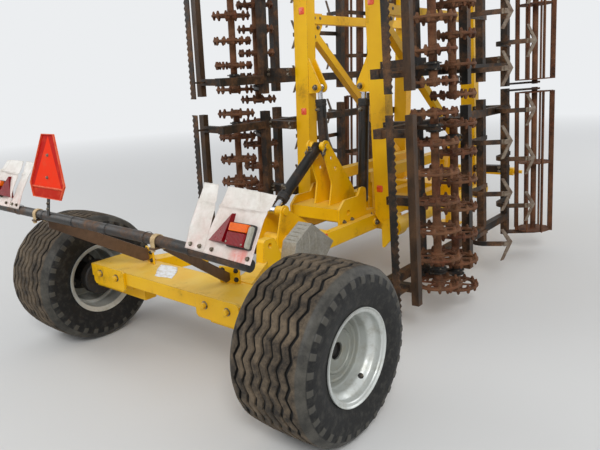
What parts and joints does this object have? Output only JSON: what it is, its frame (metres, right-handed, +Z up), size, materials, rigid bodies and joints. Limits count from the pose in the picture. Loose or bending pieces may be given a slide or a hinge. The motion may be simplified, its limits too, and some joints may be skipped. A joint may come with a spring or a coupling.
{
  "type": "folded seedbed compactor",
  "caption": "Trailed seedbed compactor with folding wings of tines, ringed rollers and levelling bars over a wheeled transport carriage, folded upright.",
  "frame": {"origin": "middle of the whole machine's length and width, on the ground it stands on", "axes": "-Y is the direction of travel, +X is the machine's left side, +Z is up"},
  "size_m": [2.55, 4.9132, 2.8318],
  "materials": {
    "yellow_paint": "satin",
    "black_paint": "satin",
    "cast_rings": "matte",
    "tyre_rubber": "matte",
    "rim_silver": "satin",
    "board_white": "satin",
    "lamp_lens": "gloss",
    "warning_red": "satin",
    "galvanised": "satin",
    "bare_steel": "satin"
  },
  "bodies": {
    "root": {"rear_head": "yellow_paint", "tower": "yellow_paint", "centre_frame": "yellow_paint", "drawbar": "yellow_paint", "parking_jack": "yellow_paint"},
    "hitch": {"hitch_crossbar": "yellow_paint"},
    "carriage": {"axle_beam": "yellow_paint", "stub_axles": "yellow_paint", "carriage_frame": "yellow_paint", "lamp_bar": "black_paint", "lamp_boards": "board_white", "tail_lamps": "lamp_lens", "warning_triangle": "warning_red", "wheel_chock": "galvanised"},
    "wheel_left": {"tyre_left": "tyre_rubber", "rim_left": "rim_silver"},
    "wheel_right": {"tyre_right": "tyre_rubber", "rim_right": "rim_silver"},
    "lift_barrel": {"lift_barrel": "black_paint"},
    "lift_rod": {"lift_rod": "bare_steel"},
    "wing_left": {"wing_frame_left": "yellow_paint", "section_frame_lower_left": "black_paint", "section_frame_upper_left": "black_paint", "tines_left": "black_paint", "levelling_bars_left": "black_paint"},
    "fold_barrel_left": {"fold_barrel_left": "black_paint"},
    "fold_rod_left": {"fold_rod_left": "bare_steel"},
    "crosskill_rear_lower_left": {"crosskill_rear_lower_left": "cast_rings"},
    "crosskill_front_lower_left": {"crosskill_front_lower_left": "cast_rings"},
    "cage_roller_lower_left": {"cage_roller_lower_left": "cast_rings"},
    "crosskill_rear_upper_left": {"crosskill_rear_upper_left": "cast_rings"},
    "crosskill_front_upper_left": {"crosskill_front_upper_left": "cast_rings"},
    "cage_roller_upper_left": {"cage_roller_upper_left": "cast_rings"},
    "wing_right": {"wing_frame_right": "yellow_paint", "section_frame_lower_right": "black_paint", "section_frame_upper_right": "black_paint", "tines_right": "black_paint", "levelling_bars_right": "black_paint"},
    "fold_barrel_right": {"fold_barrel_right": "black_paint"},
    "fold_rod_right": {"fold_rod_right": "bare_steel"},
    "crosskill_rear_lower_right": {"crosskill_rear_lower_right": "cast_rings"},
    "crosskill_front_lower_right": {"crosskill_front_lower_right": "cast_rings"},
    "cage_roller_lower_right": {"cage_roller_lower_right": "cast_rings"},
    "crosskill_rear_upper_right": {"crosskill_rear_upper_right": "cast_rings"},
    "crosskill_front_upper_right": {"crosskill_front_upper_right": "cast_rings"},
    "cage_roller_upper_right": {"cage_roller_upper_right": "cast_rings"}
  },
  "joints": [
    {"name": "hitch_swivel", "type": "hinge", "parent": "root", "child": "hitch", "pos_m": [0, -2.39664, 0.56], "axis": [0, 0, 1], "range_deg": [-24, 24]},
    {"name": "carriage_lift", "type": "hinge", "parent": "root", "child": "carriage", "pos_m": [0, 0.23336, 0.58], "axis": [1, 0, 0], "range_deg": [-14, 4]},
    {"name": "wheel_left_spin", "type": "hinge", "parent": "carriage", "child": "wheel_left", "pos_m": [1.047, 1.90336, 0.433], "axis": [1, 0, 0], "continuous": true},
    {"name": "wheel_right_spin", "type": "hinge", "parent": "carriage", "child": "wheel_right", "pos_m": [-1.047, 1.90336, 0.433], "axis": [1, 0, 0], "continuous": true},
    {"name": "lift_barrel_swing", "type": "hinge", "parent": "root", "child": "lift_barrel", "pos_m": [0, 0.51936, 1.185], "axis": [1, 0, 0], "range_deg": [-11.27, 3.22]},
    {"name": "lift_rod_slide", "type": "slide", "parent": "lift_barrel", "child": "lift_rod", "axis": [0, 0.8106, -0.5857], "range_m": [-0.04741, 0.16593]},
    {"name": "wing_left_fold", "type": "hinge", "parent": "root", "child": "wing_left", "pos_m": [0.455, 0.19836, 0.56], "axis": [0, 1, 0], "range_deg": [0, 91.9]},
    {"name": "fold_barrel_left_swing", "type": "hinge", "parent": "root", "child": "fold_barrel_left", "pos_m": [0.17, 0.19836, 0.74], "axis": [0, 1, 0], "range_deg": [0, 86.59]},
    {"name": "fold_rod_left_slide", "type": "slide", "parent": "fold_barrel_left", "child": "fold_rod_left", "axis": [0.0435, 0, 0.9991], "range_m": [0, 0.47523]},
    {"name": "crosskill_rear_lower_left_spin", "type": "hinge", "parent": "wing_left", "child": "crosskill_rear_lower_left", "pos_m": [0.92012, 0.45136, 0.83557], "axis": [-0.0332, 0, 0.9995], "continuous": true},
    {"name": "crosskill_front_lower_left_spin", "type": "hinge", "parent": "wing_left", "child": "crosskill_front_lower_left", "pos_m": [0.92012, 0.17436, 0.83557], "axis": [-0.0332, 0, 0.9995], "continuous": true},
    {"name": "cage_roller_lower_left_spin", "type": "hinge", "parent": "wing_left", "child": "cage_roller_lower_left", "pos_m": [0.93611, -1.41664, 0.8361], "axis": [-0.0332, 0, 0.9995], "continuous": true},
    {"name": "crosskill_rear_upper_left_spin", "type": "hinge", "parent": "wing_left", "child": "crosskill_rear_upper_left", "pos_m": [0.87569, 0.45136, 2.17484], "axis": [-0.0332, 0, 0.9995], "continuous": true},
    {"name": "crosskill_front_upper_left_spin", "type": "hinge", "parent": "wing_left", "child": "crosskill_front_upper_left", "pos_m": [0.87569, 0.17436, 2.17484], "axis": [-0.0332, 0, 0.9995], "continuous": true},
    {"name": "cage_roller_upper_left_spin", "type": "hinge", "parent": "wing_left", "child": "cage_roller_upper_left", "pos_m": [0.89168, -1.41664, 2.17537], "axis": [-0.0332, 0, 0.9995], "continuous": true},
    {"name": "wing_right_fold", "type": "hinge", "parent": "root", "child": "wing_right", "pos_m": [-0.455, 0.19836, 0.56], "axis": [0, -1, 0], "range_deg": [0, 91.9]},
    {"name": "fold_barrel_right_swing", "type": "hinge", "parent": "root", "child": "fold_barrel_right", "pos_m": [-0.17, 0.19836, 0.74], "axis": [0, -1, 0], "range_deg": [0, 86.59]},
    {"name": "fold_rod_right_slide", "type": "slide", "parent": "fold_barrel_right", "child": "fold_rod_right", "axis": [-0.0435, 0, 0.9991], "range_m": [0, 0.47523]},
    {"name": "crosskill_rear_lower_right_spin", "type": "hinge", "parent": "wing_right", "child": "crosskill_rear_lower_right", "pos_m": [-0.92012, 0.45136, 0.83557], "axis": [0.0332, 0, 0.9995], "continuous": true},
    {"name": "crosskill_front_lower_right_spin", "type": "hinge", "parent": "wing_right", "child": "crosskill_front_lower_right", "pos_m": [-0.92012, 0.17436, 0.83557], "axis": [0.0332, 0, 0.9995], "continuous": true},
    {"name": "cage_roller_lower_right_spin", "type": "hinge", "parent": "wing_right", "child": "cage_roller_lower_right", "pos_m": [-0.93611, -1.41664, 0.8361], "axis": [0.0332, 0, 0.9995], "continuous": true},
    {"name": "crosskill_rear_upper_right_spin", "type": "hinge", "parent": "wing_right", "child": "crosskill_rear_upper_right", "pos_m": [-0.87569, 0.45136, 2.17484], "axis": [0.0332, 0, 0.9995], "continuous": true},
    {"name": "crosskill_front_upper_right_spin", "type": "hinge", "parent": "wing_right", "child": "crosskill_front_upper_right", "pos_m": [-0.87569, 0.17436, 2.17484], "axis": [0.0332, 0, 0.9995], "continuous": true},
    {"name": "cage_roller_upper_right_spin", "type": "hinge", "parent": "wing_right", "child": "cage_roller_upper_right", "pos_m": [-0.89168, -1.41664, 2.17537], "axis": [0.0332, 0, 0.9995], "continuous": true}
  ],
  "couplings": [
    {"joint": "lift_barrel_swing", "follows": "carriage_lift", "ratio": 0.76635},
    {"joint": "lift_rod_slide", "follows": "carriage_lift", "m_per_rad": -0.64676},
    {"joint": "fold_barrel_left_swing", "follows": "wing_left_fold", "ratio": 0.93676},
    {"joint": "fold_rod_left_slide", "follows": "wing_left_fold", "m_per_rad": 0.29442},
    {"joint": "fold_barrel_right_swing", "follows": "wing_right_fold", "ratio": 0.93676},
    {"joint": "fold_rod_right_slide", "follows": "wing_right_fold", "m_per_rad": 0.29442}
  ]
}
